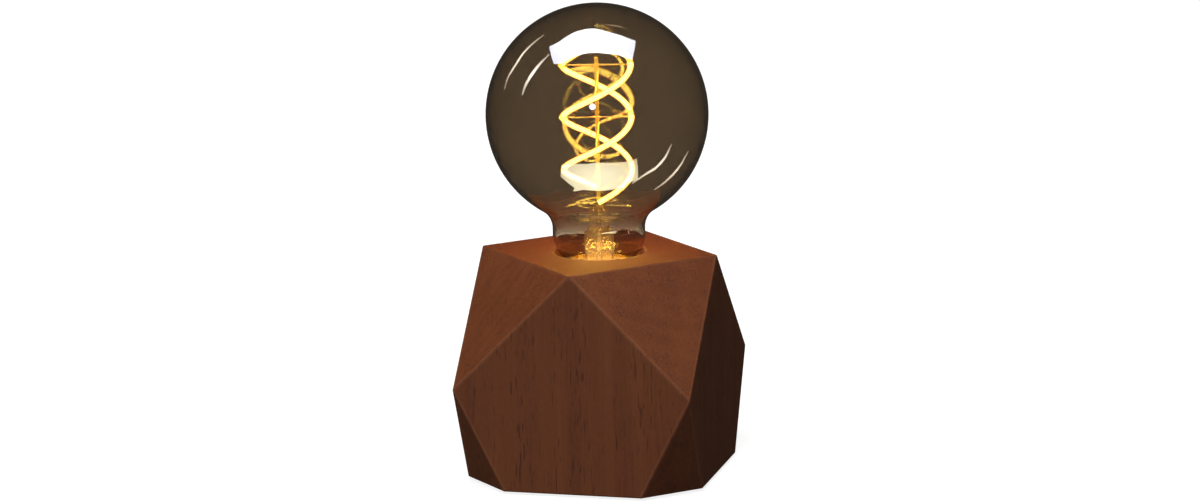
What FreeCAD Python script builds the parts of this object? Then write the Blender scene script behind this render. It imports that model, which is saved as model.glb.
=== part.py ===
"""Bare bulb table lamp: a faceted wood block with an E27 lampholder sunk in it and a globe bulb.

Millimetres. Z is up and is the axis of the bulb and its holder; the lamp stands on z = 0 and its
front face looks along -Y. Each piece is one solid, or one group of like solids, in parts/NAME.step.
"""
import FreeCAD
import Part
import math
import os

V = FreeCAD.Vector
ORIGIN = V(0, 0, 0)
Y_AXIS = V(0, 1, 0)
Z_AXIS = V(0, 0, 1)

# ---------------------------------------------------------------- driving dimensions
# Wood block: a square top turned by 45 degrees, four corners part-way up, an eight-sided foot
BLOCK_WIDTH = 103.5
BLOCK_HEIGHT = 95.0
CORNER_HEIGHT = 43.5        # of the four outer corners above the block's underside
FOOT_EDGE = 59.7            # bottom edge of each of the four large faces
EDGE_RADIUS = 0.9
HOLE_EDGE_RADIUS = 1.0
POCKET_D = 54.0
POCKET_DEPTH = 18.5         # wiring pocket, from the block's underside

# Underside
FOOT_THICKNESS = 1.2
FOOT_D = 10.0
COVER_LEDGE = 6.0           # width of wood that the cover rests on
COVER_THICKNESS = 2.0
COVER_INSET = 0.4           # cover's face above the block's underside
COVER_SCREW_COUNT = 3
COVER_SCREW_D = 2.9
COVER_SCREW_LENGTH = 12.0

# Cable inlet bush in the back face
INLET_BORE_D = 7.0
INLET_WALL = 1.4
INLET_FLANGE_WIDTH = 1.6
INLET_FLANGE_THICKNESS = 1.6

# Bulb glass, from the cap upwards
CAP_RIM_DROP = 4.5          # rim of the cap below the block's top
SHOULDER_RADIUS = 13.0
NECK_D = 39.6
NECK_LENGTH = 2.9
NECK_BLEND_RADIUS = 10.0
GLOBE_D = 95.0
GLASS_WALL = 0.9
GLASS_SEAT_DROP = 2.5       # taper of the glass just inside the cap's rim
GLASS_TUBE_LENGTH = 9.0     # from the cap's rim down to the stem's foot

# Bulb cap and its thread
CAP_HEIGHT = 26.8
THREAD_PITCH = 3.629
THREAD_MINOR_D = 24.3
THREAD_DEPTH = 0.95
THREAD_RISE = 7.6           # lowest thread centre above the cap's tip
CAP_WALL = 0.35
CAP_RIM_HEIGHT = 5.8        # plain band above the thread
CAP_LIP_RISE = 5.0          # bottom lip of the shell above the cap's tip
CAP_LIP_THICKNESS = 0.5
CAP_LIP_WIDTH = 1.85
CAP_TIP_D = 9.6
CAP_TIP_HEIGHT = 1.2
CAP_STUB_D = 3.0
INSULATOR_HEIGHT = 7.0
BOARD_THICKNESS = 1.0
BOARD_LIFT = 2.0            # board above the insulator
CAPACITOR_D = 5.0
CAPACITOR_HEIGHT = 5.5
COIL_BODY_D = 4.0
COIL_BODY_HEIGHT = 4.2
RECTIFIER_LENGTH = 4.8
RECTIFIER_WIDTH = 4.0
RECTIFIER_HEIGHT = 2.4
CHIP_LENGTH = 5.0
CHIP_WIDTH = 3.6
CHIP_HEIGHT = 1.6
RESISTOR_LENGTH = 3.5
RESISTOR_WIDTH = 1.6
RESISTOR_HEIGHT = 0.7

# Glass stem, rod and wires inside the globe
STEM_WALL = 0.9
STEM_FOOT_THICKNESS = 1.0
STEM_FLARE_D = 12.6
STEM_FLARE_RISE = 13.0      # top of the flare tube above the cap's rim
STEM_PINCH_D = 8.6
STEM_PINCH_HEIGHT = 11.5    # top of the pinch above the flare tube
EXHAUST_D = 3.2
EXHAUST_BORE_D = 1.8
EXHAUST_TAIL = 3.6          # exhaust tube below the stem's foot
ROD_D = 1.6
ROD_OVERRUN = 3.0           # rod above the top support wire
WIRE_D = 0.7
WIRE_OFFSET = 2.6           # of each lead wire from the axis, in the pinch
SUPPORT_WIRE_D = 0.5

# Filament: one flexible strand, folded at the top, whose halves wind round each other
FILAMENT_D = 2.2
FILAMENT_COIL_D = 29.2
FILAMENT_PITCH = 45.4
FILAMENT_LIFT = 4.0         # bottom ends above the pinch
FILAMENT_SIDE_TURNS = 1.25  # turns of each half, up to where the fold begins
FILAMENT_FOLD_HEIGHT = 13.4
FILAMENT_START_DEG = -75.4  # heading of the bottom ends; the front of the block is at -90
PIN_D = 1.1
PIN_LENGTH = 3.0

# Lampholder
SKIRT_DROP = 4.0            # rim of the holder below the cap's rim
SKIRT_WALL = 1.5
HOLDER_CAP_HEIGHT = 18.3    # outside height of the lower cap, without its spigot
HOLDER_CAP_WALL = 1.8
HOLDER_CAP_FLOOR = 3.0
SPIGOT_HEIGHT = 2.9
SPIGOT_WALL = 1.3
NIPPLE_BOSS_WALL = 3.0
NIPPLE_BOSS_HEIGHT = 5.0
INSERT_HEIGHT = 16.0
INSERT_RECESS_DEPTH = 5.7
TIP_CLEARANCE = 1.7         # floor of the insert's recess below the cap's tip
LEDGE_WIDTH = 0.8
LEDGE_HEIGHT = 2.5
SHELL_WALL = 0.45           # screw shell outside its thread
SHELL_DROP = 1.5            # top of the screw shell below the cap's plain band
SHELL_FLANGE_THICKNESS = 0.6
RIVET_D = 1.4
RIVET_HEAD_D = 2.0
RIVET_HEAD_HEIGHT = 0.6
STRIP_THICKNESS = 0.6
STRIP_WIDTH = 5.0
TERMINAL_WIDTH = 5.5
TERMINAL_LENGTH = 7.0
TERMINAL_HEIGHT = 6.0
TERMINAL_WIRE_D = 2.4
TERMINAL_SCREW_D = 2.5
TERMINAL_SCREW_HEAD_D = 4.0
TERMINAL_SCREW_HEAD_HEIGHT = 1.7

# Sprung centre contact of the holder
PLUNGER_HEAD_D = 6.0
PLUNGER_HEAD_HEIGHT = 3.0
PLUNGER_STEM_D = 2.4
PLUNGER_TRAVEL = 1.0
WELL_GAP = 0.3              # round the plunger's head and round its spring
WELL_DEPTH = 6.0
SPRING_WIRE_D = 0.5
SPRING_TURNS = 4
STEPS_PER_TURN = 16         # points on each turn of a wound path
CLIP_WIDTH = 1.2
CLIP_THICKNESS = 0.6

# Nipple, which clamps the holder on the web
NIPPLE_D = 10.0
NIPPLE_BORE_D = 7.2
NIPPLE_ENTRY = 7.0          # into the holder's cap
NUT_WIDTH = 14.0
NUT_HEIGHT = 3.0
WASHER_D = 20.0
WASHER_THICKNESS = 1.0
NIPPLE_TAIL = 1.5           # thread that shows under the nut

# Clearances, all round unless a line says otherwise
RUNNING_GAP = 0.05          # pins and wires in their holes
THREAD_GAP = 0.35           # bulb thread in the holder's
SEAT_GAP = 0.2              # covers and inserts in their recesses
HOLE_GAP = 0.6              # holder in the block's hole
NIPPLE_GAP = 0.4            # nipple in the web
BOARD_GAP = 0.3             # driver board in the cap
CONTACT_GAP = 0.05          # sprung contact below the cap's tip

# ---------------------------------------------------------------- derived radii
HALF = BLOCK_WIDTH / 2
COVER_D = POCKET_D + 2 * COVER_LEDGE
COVER_SCREW_CIRCLE_D = POCKET_D + COVER_LEDGE
FOOT_CIRCLE_R = (COVER_D / 2 + (HALF + FOOT_EDGE / 2) / math.sqrt(2)) / 2
INLET_SLEEVE_D = INLET_BORE_D + 2 * INLET_WALL
INLET_FLANGE_D = INLET_SLEEVE_D + 2 * INLET_FLANGE_WIDTH
INLET_LENGTH = HALF - math.sqrt(POCKET_D ** 2 - INLET_SLEEVE_D ** 2) / 2

THREAD_MAJOR_D = THREAD_MINOR_D + 2 * THREAD_DEPTH
THREAD_HALF_WIDTH = 0.36 * THREAD_PITCH
CAP_BORE_R = THREAD_MINOR_D / 2 - CAP_WALL
CAP_RIM_BORE_R = THREAD_MAJOR_D / 2 - CAP_WALL
GLASS_SEAT_R = CAP_RIM_BORE_R - SEAT_GAP
GLASS_TUBE_R = CAP_BORE_R - SEAT_GAP
INSULATOR_R = THREAD_MINOR_D / 2 - CAP_LIP_WIDTH
BOARD_R = CAP_BORE_R - BOARD_GAP
COMPONENT_CIRCLE_R = (BOARD_R + WIRE_OFFSET) / 2
COIL_R = FILAMENT_COIL_D / 2

SHELL_CREST_R = THREAD_MINOR_D / 2 + THREAD_GAP
SHELL_GROOVE_R = THREAD_MAJOR_D / 2 + THREAD_GAP
SHELL_R = SHELL_GROOVE_R + SHELL_WALL
RIVET_X = SHELL_R + RIVET_HEAD_D / 2 + RUNNING_GAP
SPIGOT_BORE_R = RIVET_X + RIVET_HEAD_D / 2 + RUNNING_GAP
INSERT_R = SPIGOT_BORE_R + SPIGOT_WALL
SKIRT_BORE_R = INSERT_R + SEAT_GAP
LEDGE_R = SKIRT_BORE_R - LEDGE_WIDTH
HOLDER_D = 2 * (SKIRT_BORE_R + SKIRT_WALL)
HOLE_D = HOLDER_D + 2 * HOLE_GAP
TERMINAL_X = RIVET_X - RIVET_HEAD_D / 2 - SEAT_GAP - TERMINAL_WIDTH / 2
WELL_D = PLUNGER_HEAD_D + 2 * WELL_GAP
SPRING_D = PLUNGER_HEAD_D - 2 * WELL_GAP

# ---------------------------------------------------------------- derived levels
BLOCK_BOTTOM = FOOT_THICKNESS
BLOCK_TOP = BLOCK_BOTTOM + BLOCK_HEIGHT

# Centres of the arcs in the glass's outline, and the globe's centre
CAP_RIM_Z = BLOCK_TOP - CAP_RIM_DROP
SHOULDER_X = NECK_D / 2 - SHOULDER_RADIUS
SEAT_ANGLE = -math.acos((GLASS_SEAT_R - SHOULDER_X) / SHOULDER_RADIUS)
SHOULDER_Z = CAP_RIM_Z - SHOULDER_RADIUS * math.sin(SEAT_ANGLE)
BLEND_X = NECK_D / 2 + NECK_BLEND_RADIUS
BLEND_Z = SHOULDER_Z + NECK_LENGTH
GLOBE_Z = BLEND_Z + math.sqrt((GLOBE_D / 2 + NECK_BLEND_RADIUS) ** 2 - BLEND_X ** 2)

# Cap and what is in it
CAP_TIP_Z = CAP_RIM_Z - CAP_HEIGHT
CAP_STEP_Z = CAP_RIM_Z - CAP_RIM_HEIGHT
THREAD_Z = CAP_TIP_Z + THREAD_RISE
THREAD_TURNS = (CAP_STEP_Z - THREAD_HALF_WIDTH - SEAT_GAP - THREAD_Z) / THREAD_PITCH
INSULATOR_TOP = CAP_TIP_Z + INSULATOR_HEIGHT
BOARD_Z = INSULATOR_TOP + BOARD_LIFT
BOARD_TOP = BOARD_Z + BOARD_THICKNESS

# Stem, filament and rod
STEM_FOOT_TOP = CAP_RIM_Z - GLASS_TUBE_LENGTH
STEM_FOOT_Z = STEM_FOOT_TOP - STEM_FOOT_THICKNESS
FLARE_TOP = CAP_RIM_Z + STEM_FLARE_RISE
STEM_ROOF = FLARE_TOP + STEM_WALL / 2
PINCH_TOP = FLARE_TOP + STEM_PINCH_HEIGHT
FILAMENT_Z = PINCH_TOP + FILAMENT_LIFT
ROD_TOP = FILAMENT_Z + FILAMENT_PITCH * FILAMENT_SIDE_TURNS + ROD_OVERRUN

# Holder, hung from the cap's tip
RECESS_FLOOR = CAP_TIP_Z - TIP_CLEARANCE
WELL_FLOOR = RECESS_FLOOR - WELL_DEPTH
INSERT_TOP = RECESS_FLOOR + INSERT_RECESS_DEPTH
INSERT_BOTTOM = INSERT_TOP - INSERT_HEIGHT
STRIP_BOTTOM = INSERT_BOTTOM - STRIP_THICKNESS
SHELL_TOP = CAP_STEP_Z - SHELL_DROP
SKIRT_TOP = CAP_RIM_Z - SKIRT_DROP
SKIRT_BOTTOM = INSERT_BOTTOM - SPIGOT_HEIGHT
HOLDER_BOTTOM = SKIRT_BOTTOM - HOLDER_CAP_HEIGHT

# Web and pocket
WEB_TOP = HOLDER_BOTTOM
WEB_BOTTOM = BLOCK_BOTTOM + POCKET_DEPTH
COVER_Z = BLOCK_BOTTOM + COVER_INSET
COVER_TOP = COVER_Z + COVER_THICKNESS
INLET_Z = (COVER_TOP + WEB_BOTTOM) / 2


# ---------------------------------------------------------------- shape helpers
def disc(diameter, z0, z1, x=0.0, y=0.0):
    return Part.makeCylinder(diameter / 2, z1 - z0, V(x, y, z0))


def ring(outer_d, inner_d, z0, z1):
    return disc(outer_d, z0, z1).cut(disc(inner_d, z0, z1))


def box(x0, x1, y0, y1, z0, z1):
    return Part.makeBox(x1 - x0, y1 - y0, z1 - z0, V(x0, y0, z0))


def turned(start, *runs):
    """Solid turned about Z. A run of one (r, z) point is straight, a run of two is an arc through both."""
    edges = []
    here = V(start[0], 0, start[1])
    for run in runs + ((start,),):
        points = [V(r, 0, z) for r, z in run]
        if points[-1].distanceToPoint(here) < 1e-6:
            continue
        if len(points) == 1:
            edges.append(Part.makeLine(here, points[0]))
        else:
            edges.append(Part.Arc(here, points[0], points[1]).toShape())
        here = points[-1]
    return Part.Face(Part.Wire(edges)).revolve(ORIGIN, Z_AXIS, 360)


def half_turn(shape):
    return shape.rotated(ORIGIN, Z_AXIS, 180)


def round_bar(path, diameter):
    """Solid bar of round section along a wire."""
    edge = path.OrderedEdges[0]
    start = edge.valueAt(edge.FirstParameter)
    along = edge.tangentAt(edge.FirstParameter)
    if edge.Orientation == "Reversed":
        start = edge.valueAt(edge.LastParameter)
        along = edge.tangentAt(edge.LastParameter) * -1
    section = Part.Wire([Part.makeCircle(diameter / 2, start, along)])
    return path.makePipeShell([section], True, True)


def bent_path(points, bend_radius):
    """Wire of straight runs joined by tangent arcs."""
    edges = []
    here = points[0]
    for before, corner, after in zip(points, points[1:], points[2:]):
        into = (corner - before).normalize()
        out = (after - corner).normalize()
        half = into.getAngle(out) / 2
        setback = bend_radius * math.tan(half)
        arc_start = corner - into * setback
        arc_end = corner + out * setback
        middle = corner + (out - into).normalize() * (bend_radius * (1 / math.cos(half) - 1))
        edges.append(Part.makeLine(here, arc_start))
        edges.append(Part.Arc(arc_start, middle, arc_end).toShape())
        here = arc_end
    edges.append(Part.makeLine(here, points[-1]))
    return Part.Wire(edges)


def smooth_path(points):
    """Wire of one smooth curve through the points."""
    curve = Part.BSplineCurve()
    curve.interpolate(points)
    return Part.Wire([curve.toShape()])


def thread_rib(root_r, crest_r, half_width, z0, turns):
    """Rounded screw rib from height z0 upwards, a little sunk into the radius that it stands on."""
    sunk_r = root_r - THREAD_HALF_WIDTH / 4
    helix = Part.makeHelix(THREAD_PITCH, THREAD_PITCH * turns, root_r)
    helix.translate(V(0, 0, z0))
    low = V(sunk_r, 0, z0 - half_width)
    high = V(sunk_r, 0, z0 + half_width)
    section = Part.Wire([Part.Arc(low, V(crest_r, 0, z0), high).toShape(), Part.makeLine(high, low)])
    rib = Part.Wire(helix.Edges).makePipeShell([section], True, True)
    if rib.Volume < 0:
        rib.reverse()
    return rib


# ---------------------------------------------------------------- wood block and its underside
def block_body():
    """The faceted block, solid, with eased edges."""
    foot = FOOT_EDGE / 2
    corner_z = BLOCK_BOTTOM + CORNER_HEIGHT

    def face(quarter, points):
        corners = [V(*p) for p in points]
        polygon = Part.Face(Part.makePolygon(corners + corners[:1]))
        return polygon.rotated(ORIGIN, Z_AXIS, 90 * quarter)

    top_mid, corner = (0, -HALF, BLOCK_TOP), (HALF, -HALF, corner_z)
    foot_left, foot_right = (-foot, -HALF, BLOCK_BOTTOM), (foot, -HALF, BLOCK_BOTTOM)
    faces = []
    for quarter in range(4):
        faces.append(face(quarter, [top_mid, (-HALF, -HALF, corner_z), foot_left, foot_right, corner]))
        faces.append(face(quarter, [top_mid, corner, (HALF, 0, BLOCK_TOP)]))
        faces.append(face(quarter, [corner, foot_right, (HALF, -foot, BLOCK_BOTTOM)]))
    faces.append(face(0, [top_mid, (HALF, 0, BLOCK_TOP), (0, HALF, BLOCK_TOP), (-HALF, 0, BLOCK_TOP)]))
    around = [(foot, -HALF), (HALF, -foot), (HALF, foot), (foot, HALF)]
    around += [(-x, -y) for x, y in around]
    faces.append(face(0, [(x, y, BLOCK_BOTTOM) for x, y in around]))
    body = Part.Solid(Part.makeShell(faces))
    if body.Volume < 0:
        body.reverse()
    return body.makeFillet(EDGE_RADIUS, body.Edges)


def cover_screw_places():
    step = 360 / COVER_SCREW_COUNT
    for i in range(COVER_SCREW_COUNT):
        angle = math.radians(90 + step * (i + 0.5))
        yield COVER_SCREW_CIRCLE_D / 2 * math.cos(angle), COVER_SCREW_CIRCLE_D / 2 * math.sin(angle)


def cover_screw(clearance=0.0):
    """Countersunk screw on the axis, head down, its head flush with the cover's underside."""
    shank_r = COVER_SCREW_D / 2 + clearance
    head_r = COVER_SCREW_D + clearance
    head_height = head_r - shank_r
    return turned((0, COVER_Z), ((head_r, COVER_Z),), ((shank_r, COVER_Z + head_height),),
                  ((shank_r, COVER_Z + COVER_SCREW_LENGTH + clearance),),
                  ((0, COVER_Z + COVER_SCREW_LENGTH + clearance),))


def inlet_bush(clearance=0.0, bore=True):
    """Flanged sleeve through the back wall, flange flush with the back face."""
    mouth, inwards = V(0, HALF, INLET_Z), Y_AXIS * -1
    flange = Part.makeCylinder(INLET_FLANGE_D / 2 + clearance, INLET_FLANGE_THICKNESS, mouth, inwards)
    sleeve = Part.makeCylinder(INLET_SLEEVE_D / 2 + clearance, INLET_LENGTH, mouth, inwards)
    bush = flange.fuse(sleeve).removeSplitter()
    if bore:
        bush = bush.cut(Part.makeCylinder(INLET_BORE_D / 2, INLET_LENGTH, mouth, inwards))
    return bush


def make_wood_block():
    block = block_body()
    hole_r = HOLE_D / 2
    hole = turned((0, WEB_TOP), ((hole_r, WEB_TOP),), ((hole_r, BLOCK_TOP - HOLE_EDGE_RADIUS),),
                  ((hole_r + HOLE_EDGE_RADIUS * (1 - math.sqrt(0.5)),
                    BLOCK_TOP - HOLE_EDGE_RADIUS * (1 - math.sqrt(0.5))),
                   (hole_r + HOLE_EDGE_RADIUS, BLOCK_TOP)), ((0, BLOCK_TOP),))
    block = block.cut(hole)
    block = block.cut(disc(POCKET_D, BLOCK_BOTTOM, WEB_BOTTOM))
    block = block.cut(disc(COVER_D + 2 * SEAT_GAP, BLOCK_BOTTOM, COVER_TOP))
    block = block.cut(disc(NIPPLE_D + 2 * NIPPLE_GAP, WEB_BOTTOM, WEB_TOP))
    block = block.cut(inlet_bush(RUNNING_GAP, bore=False))
    for x, y in cover_screw_places():
        block = block.cut(cover_screw(RUNNING_GAP).translated(V(x, y, 0)))
    return block


def make_rubber_feet():
    foot = disc(FOOT_D, 0, FOOT_THICKNESS)
    foot = foot.makeChamfer(FOOT_THICKNESS / 4, [e for e in foot.Edges if e.BoundBox.ZMax < 1e-6])
    feet = []
    for quarter in range(4):
        at = V(FOOT_CIRCLE_R, 0, 0)
        feet.append(foot.translated(at).rotated(ORIGIN, Z_AXIS, 45 + 90 * quarter))
    return Part.makeCompound(feet)


def make_pocket_cover():
    cover = disc(COVER_D, COVER_Z, COVER_TOP)
    for x, y in cover_screw_places():
        cover = cover.cut(cover_screw(SEAT_GAP).translated(V(x, y, 0)))
    return cover


def make_cover_screws():
    screw = cover_screw()
    long_half, short_half, recess_top = COVER_SCREW_D / 2, COVER_SCREW_D / 8, COVER_Z + COVER_SCREW_D / 3
    for half_x, half_y in ((long_half, short_half), (short_half, long_half)):
        screw = screw.cut(box(-half_x, half_x, -half_y, half_y, COVER_Z, recess_top))
    return Part.makeCompound([screw.translated(V(x, y, 0)) for x, y in cover_screw_places()])


# ---------------------------------------------------------------- nipple
def make_threaded_nipple():
    bottom = WEB_BOTTOM - WASHER_THICKNESS - NUT_HEIGHT - NIPPLE_TAIL
    return ring(NIPPLE_D, NIPPLE_BORE_D, bottom, HOLDER_BOTTOM + NIPPLE_ENTRY)


def make_nipple_washer():
    return ring(WASHER_D, NIPPLE_D + 2 * SEAT_GAP, WEB_BOTTOM - WASHER_THICKNESS, WEB_BOTTOM)


def make_nipple_nut():
    top = WEB_BOTTOM - WASHER_THICKNESS
    corner_r = NUT_WIDTH / math.sqrt(3)
    first = V(corner_r, 0, top - NUT_HEIGHT)
    corners = [FreeCAD.Rotation(Z_AXIS, 60 * i).multVec(first) for i in range(6)]
    nut = Part.Face(Part.makePolygon(corners + [first])).extrude(V(0, 0, NUT_HEIGHT))
    chamfer = corner_r - NUT_WIDTH / 2
    blank = turned((0, top - NUT_HEIGHT), ((NUT_WIDTH / 2, top - NUT_HEIGHT),),
                   ((corner_r, top - NUT_HEIGHT + chamfer),), ((corner_r, top),), ((0, top),))
    return nut.common(blank).cut(disc(NIPPLE_D + 2 * RUNNING_GAP, top - NUT_HEIGHT, top))


# ---------------------------------------------------------------- lampholder
def make_holder_cap():
    inside_d = HOLDER_D - 2 * HOLDER_CAP_WALL
    floor_top = HOLDER_BOTTOM + HOLDER_CAP_FLOOR
    boss_top = floor_top + NIPPLE_BOSS_HEIGHT
    cap = disc(HOLDER_D, HOLDER_BOTTOM, SKIRT_BOTTOM)
    cap = cap.cut(disc(inside_d, floor_top, SKIRT_BOTTOM))
    step = ring(HOLDER_D, 2 * SPIGOT_BORE_R, SKIRT_BOTTOM - HOLDER_CAP_WALL, SKIRT_BOTTOM)
    spigot = ring(2 * INSERT_R, 2 * SPIGOT_BORE_R, SKIRT_BOTTOM, INSERT_BOTTOM)
    boss = disc(NIPPLE_D + 2 * NIPPLE_BOSS_WALL, HOLDER_BOTTOM, boss_top)
    cap = cap.fuse([step, spigot, boss]).removeSplitter()
    return cap.cut(disc(NIPPLE_D + 2 * RUNNING_GAP, HOLDER_BOTTOM, boss_top))


def make_holder_skirt():
    outer_r, bore_r, rim_r = HOLDER_D / 2, SKIRT_BORE_R, SKIRT_WALL / 2
    ledge_top = INSERT_TOP + LEDGE_HEIGHT
    return turned((outer_r, SKIRT_BOTTOM), ((outer_r, SKIRT_TOP - rim_r),),
                  ((outer_r - rim_r, SKIRT_TOP), (bore_r, SKIRT_TOP - rim_r)),
                  ((bore_r, ledge_top),), ((LEDGE_R, ledge_top - LEDGE_WIDTH),), ((LEDGE_R, INSERT_TOP),),
                  ((bore_r, INSERT_TOP),), ((bore_r, SKIRT_BOTTOM),))


def rivet_places():
    return ((RIVET_X, 0), (-RIVET_X, 0))


def make_ceramic_insert():
    insert = disc(2 * INSERT_R, INSERT_BOTTOM, INSERT_TOP)
    insert = insert.cut(disc(THREAD_MINOR_D, RECESS_FLOOR, INSERT_TOP))
    insert = insert.cut(disc(WELL_D, WELL_FLOOR, RECESS_FLOOR))
    insert = insert.cut(disc(PLUNGER_STEM_D + 2 * RUNNING_GAP, INSERT_BOTTOM, WELL_FLOOR))
    for x, y in rivet_places():
        insert = insert.cut(disc(RIVET_D + 2 * RUNNING_GAP, INSERT_BOTTOM, INSERT_TOP, x, y))
    return insert


def make_screw_shell():
    flange_top = INSERT_TOP + SHELL_FLANGE_THICKNESS
    shell = disc(2 * SHELL_R, INSERT_TOP, SHELL_TOP)
    shell = shell.fuse(disc(2 * (LEDGE_R - SEAT_GAP), INSERT_TOP, flange_top)).removeSplitter()
    shell = shell.cut(disc(2 * SHELL_CREST_R, INSERT_TOP, SHELL_TOP))
    for x, y in rivet_places():
        shell = shell.cut(disc(RIVET_D + 2 * RUNNING_GAP, INSERT_TOP, flange_top, x, y))
    turns_below = math.ceil((THREAD_Z - INSERT_TOP) / THREAD_PITCH) + 1
    groove_z = THREAD_Z - turns_below * THREAD_PITCH
    turns = math.ceil((SHELL_TOP - groove_z) / THREAD_PITCH) + 1
    groove = thread_rib(SHELL_CREST_R, SHELL_GROOVE_R, THREAD_HALF_WIDTH + THREAD_GAP, groove_z, turns)
    return shell.cut(groove)


def make_shell_rivets():
    top = INSERT_TOP + SHELL_FLANGE_THICKNESS
    rivets = []
    for x, y in rivet_places():
        bottom = STRIP_BOTTOM if x > 0 else INSERT_BOTTOM
        rivet = disc(RIVET_D, bottom, top, x, y)
        heads = [disc(RIVET_HEAD_D, top, top + RIVET_HEAD_HEIGHT, x, y),
                 disc(RIVET_HEAD_D, bottom - RIVET_HEAD_HEIGHT, bottom, x, y)]
        rivets.append(rivet.fuse(heads).removeSplitter())
    return Part.makeCompound(rivets)


def strip(x0, x1, hole_x, hole_d):
    """Flat brass strip under the insert, with one hole."""
    blank = box(x0, x1, -STRIP_WIDTH / 2, STRIP_WIDTH / 2, STRIP_BOTTOM, INSERT_BOTTOM)
    return blank.cut(disc(hole_d + 2 * RUNNING_GAP, STRIP_BOTTOM, INSERT_BOTTOM, hole_x))


def make_side_strip():
    end = Part.makeCylinder(SPIGOT_BORE_R - SEAT_GAP, STRIP_THICKNESS, V(0, 0, STRIP_BOTTOM))
    return strip(TERMINAL_X - TERMINAL_WIDTH / 2, RIVET_X + STRIP_WIDTH / 2, RIVET_X, RIVET_D).common(end)


def make_centre_strip():
    return strip(-TERMINAL_X - TERMINAL_WIDTH / 2, STRIP_WIDTH / 2, 0, PLUNGER_STEM_D)


def terminal_blank():
    """One terminal block on the +X side, hung under its strip."""
    half_x, half_y = TERMINAL_WIDTH / 2, TERMINAL_LENGTH / 2
    bottom = STRIP_BOTTOM - TERMINAL_HEIGHT
    wire_z = STRIP_BOTTOM - TERMINAL_WIRE_D
    block = box(TERMINAL_X - half_x, TERMINAL_X + half_x, -half_y, half_y, bottom, STRIP_BOTTOM)
    wire_start = V(TERMINAL_X, -half_y, wire_z)
    wire_hole = Part.makeCylinder(TERMINAL_WIRE_D / 2, TERMINAL_LENGTH, wire_start, Y_AXIS)
    return block.cut([wire_hole, disc(TERMINAL_SCREW_D + 2 * RUNNING_GAP, bottom, wire_z, TERMINAL_X)])


def make_terminal_blocks():
    block = terminal_blank()
    return Part.makeCompound([block, half_turn(block)])


def make_terminal_screws():
    seat = STRIP_BOTTOM - TERMINAL_HEIGHT
    tip = STRIP_BOTTOM - 1.5 * TERMINAL_WIRE_D
    head_bottom = seat - TERMINAL_SCREW_HEAD_HEIGHT
    head_r, slot_half = TERMINAL_SCREW_HEAD_D / 2, TERMINAL_SCREW_HEAD_D / 10
    head = disc(TERMINAL_SCREW_HEAD_D, head_bottom, seat, TERMINAL_X)
    screw = disc(TERMINAL_SCREW_D, seat, tip, TERMINAL_X).fuse(head).removeSplitter()
    screw = screw.cut(box(TERMINAL_X - head_r, TERMINAL_X + head_r, -slot_half, slot_half,
                          head_bottom, head_bottom + TERMINAL_SCREW_HEAD_HEIGHT / 2))
    return Part.makeCompound([screw, half_turn(screw)])


def make_centre_contact():
    head_top = CAP_TIP_Z - CONTACT_GAP
    head_bottom = head_top - PLUNGER_HEAD_HEIGHT
    stem_end = STRIP_BOTTOM - PLUNGER_TRAVEL - 2 * CLIP_THICKNESS
    head_r, stem_r = PLUNGER_HEAD_D / 2, PLUNGER_STEM_D / 2
    crown = PLUNGER_HEAD_HEIGHT / 5
    return turned((0, head_top), ((head_r * 0.6, head_top - crown * 0.3), (head_r, head_top - crown)),
                  ((head_r, head_bottom),), ((stem_r, head_bottom),), ((stem_r, stem_end),), ((0, stem_end),))


def make_contact_spring():
    low = WELL_FLOOR + SPRING_WIRE_D / 2 + RUNNING_GAP
    high = CAP_TIP_Z - CONTACT_GAP - PLUNGER_HEAD_HEIGHT - SPRING_WIRE_D / 2 - RUNNING_GAP
    points = []
    steps = SPRING_TURNS * STEPS_PER_TURN
    for i in range(steps + 1):
        x, y = on_arc(0, 0, (SPRING_D - SPRING_WIRE_D) / 2, 2 * math.pi * i / STEPS_PER_TURN)
        points.append(V(x, y, low + (high - low) * i / steps))
    return round_bar(smooth_path(points), SPRING_WIRE_D)


def make_retaining_clip():
    top = STRIP_BOTTOM - PLUNGER_TRAVEL
    return ring(PLUNGER_STEM_D + 2 * CLIP_WIDTH, PLUNGER_STEM_D + 2 * RUNNING_GAP, top - CLIP_THICKNESS, top)


# ---------------------------------------------------------------- bulb: glass and cap
def on_arc(x, z, radius, angle):
    return x + radius * math.cos(angle), z + radius * math.sin(angle)


def glass_body(inset, bottom):
    """The globe, neck and shoulder as one turned solid, all its faces moved inwards by inset."""
    globe_r = GLOBE_D / 2 - inset
    blend_r = NECK_BLEND_RADIUS + inset
    shoulder_r = SHOULDER_RADIUS - inset
    tube_r = GLASS_TUBE_R - inset
    join_angle = math.atan2(BLEND_Z - GLOBE_Z, BLEND_X)
    blend_middle = join_angle / 2 + math.pi
    return turned((0, GLOBE_Z + globe_r),
                  (on_arc(0, GLOBE_Z, globe_r, 0), on_arc(0, GLOBE_Z, globe_r, join_angle)),
                  (on_arc(BLEND_X, BLEND_Z, blend_r, blend_middle), (BLEND_X - blend_r, BLEND_Z)),
                  ((BLEND_X - blend_r, SHOULDER_Z),),
                  (on_arc(SHOULDER_X, SHOULDER_Z, shoulder_r, SEAT_ANGLE / 2),
                   on_arc(SHOULDER_X, SHOULDER_Z, shoulder_r, SEAT_ANGLE)),
                  ((tube_r, CAP_RIM_Z - GLASS_SEAT_DROP),), ((tube_r, bottom),), ((0, bottom),))


def make_glass_envelope():
    return glass_body(0, STEM_FOOT_TOP).cut(glass_body(GLASS_WALL, STEM_FOOT_TOP - GLASS_WALL))


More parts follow.
